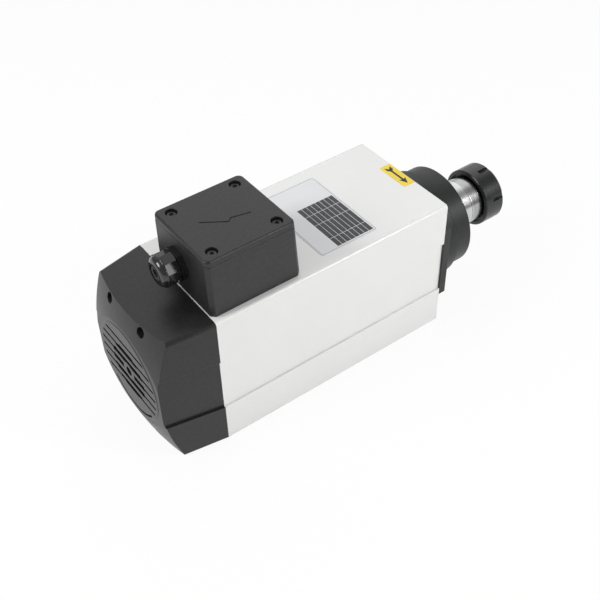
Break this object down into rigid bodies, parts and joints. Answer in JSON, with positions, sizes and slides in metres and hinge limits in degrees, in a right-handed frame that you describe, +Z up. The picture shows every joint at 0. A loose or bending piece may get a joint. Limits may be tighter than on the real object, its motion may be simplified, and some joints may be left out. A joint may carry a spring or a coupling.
{
  "type": "motor spindle",
  "caption": "Air-cooled motor spindle: long square housing, domed rear grille, offset terminal box with cable gland, round nose and a collet nut that clamps a cutting tool.",
  "frame": {"origin": "centre of the housing's bottom mounting face", "axes": "+X along the shaft to the collet nose, +Z up through the terminal box, +Y to the side away from the box's overhang"},
  "size_m": [0.3488, 0.104, 0.1693],
  "materials": {
    "white_paint": "satin white powder coat",
    "machined_aluminium": "fine turned",
    "black_anodised": "black anodised, satin",
    "cover_plastic": "fine textured black",
    "box_plastic": "fine textured dark grey",
    "black_nylon": "smooth black nylon",
    "seal_rubber": "matt black",
    "ground_steel": "turned and ground",
    "blackened_steel": "blackened, satin",
    "bearing_steel": "polished",
    "cage_brass": "machined",
    "fastener_steel": "zinc plated",
    "terminal_brass": "machined",
    "copper_winding": "enamelled copper",
    "lead_insulation": "silicone insulation",
    "lamination_steel": "stacked sheets",
    "cast_aluminium": "as cast",
    "silver_foil": "silver foil with printed fields",
    "yellow_vinyl": "yellow with a black arrow"
  },
  "bodies": {
    "housing": {"motor_housing": "white_paint", "stator_core": "lamination_steel", "stator_windings": "copper_winding", "motor_leads": "lead_insulation", "front_bearing_housing": "black_anodised", "flange_screws": "fastener_steel", "nose_cap": "black_anodised", "nose_cap_screws": "fastener_steel", "front_bearing_outer_ring": "bearing_steel", "second_bearing_outer_ring": "bearing_steel", "outer_spacer_ring": "ground_steel", "rear_bearing_outer_ring": "bearing_steel", "rear_bearing_shield": "machined_aluminium", "shield_screws": "fastener_steel", "preload_disc_springs": "fastener_steel", "rear_fan_cover": "cover_plastic", "cover_screws": "fastener_steel", "terminal_box_base": "box_plastic", "base_gasket": "seal_rubber", "base_screws": "fastener_steel", "terminal_box_lid": "box_plastic", "lid_gasket": "seal_rubber", "lid_screws": "fastener_steel", "terminal_block": "black_nylon", "terminal_studs": "terminal_brass", "terminal_nuts": "terminal_brass", "earth_screw": "terminal_brass", "gland_body": "black_nylon", "gland_lock_nut": "black_nylon", "nameplate_label": "silver_foil", "rotation_sticker": "yellow_vinyl"},
    "shaft": {"shaft": "ground_steel", "rotor_core": "lamination_steel", "rotor_cage": "cast_aluminium", "front_bearing_inner_ring": "bearing_steel", "second_bearing_inner_ring": "bearing_steel", "rear_bearing_inner_ring": "bearing_steel", "inner_spacer_ring": "ground_steel", "bearing_lock_nut": "ground_steel", "slinger_ring": "ground_steel", "rear_circlip": "fastener_steel", "fan_impeller": "black_nylon", "fan_key": "fastener_steel", "fan_washer": "fastener_steel", "fan_screw": "fastener_steel"},
    "front_cages": {"front_bearing_cage": "cage_brass", "front_bearing_balls": "bearing_steel", "second_bearing_cage": "cage_brass", "second_bearing_balls": "bearing_steel"},
    "rear_cage": {"rear_bearing_cage": "cage_brass", "rear_bearing_balls": "bearing_steel"},
    "collet": {"collet": "ground_steel"},
    "collet_nut": {"collet_nut": "blackened_steel"},
    "gland_seal": {"gland_seal": "seal_rubber"},
    "gland_nut": {"gland_cap_nut": "black_nylon"}
  },
  "joints": [
    {"name": "shaft_spin", "type": "hinge", "parent": "housing", "child": "shaft", "pos_m": [0, 0, 0.0605], "axis": [1, 0, 0], "continuous": true},
    {"name": "front_cage_spin", "type": "hinge", "parent": "housing", "child": "front_cages", "pos_m": [0.11, 0, 0.0605], "axis": [1, 0, 0], "continuous": true},
    {"name": "rear_cage_spin", "type": "hinge", "parent": "housing", "child": "rear_cage", "pos_m": [-0.1, 0, 0.0605], "axis": [1, 0, 0], "continuous": true},
    {"name": "collet_travel", "type": "slide", "parent": "shaft", "child": "collet", "axis": [1, 0, 0], "range_m": [0, 0.009]},
    {"name": "collet_nut_turn", "type": "hinge", "parent": "collet", "child": "collet_nut", "pos_m": [0.19, 0, 0.0605], "axis": [1, 0, 0], "range_deg": [0, 2160]},
    {"name": "gland_seal_travel", "type": "slide", "parent": "housing", "child": "gland_seal", "axis": [-1, 0, 0], "range_m": [0, 0.003]},
    {"name": "gland_nut_turn", "type": "hinge", "parent": "gland_seal", "child": "gland_nut", "pos_m": [-0.1155, -0.0085, 0.145], "axis": [-1, 0, 0], "range_deg": [0, 720]}
  ],
  "couplings": [
    {"joint": "front_cage_spin", "follows": "shaft_spin", "ratio": 0.409},
    {"joint": "rear_cage_spin", "follows": "shaft_spin", "ratio": 0.4},
    {"joint": "collet_travel", "follows": "collet_nut_turn", "m_per_rad": 0.00023873},
    {"joint": "gland_seal_travel", "follows": "gland_nut_turn", "m_per_rad": 0.00023873}
  ]
}
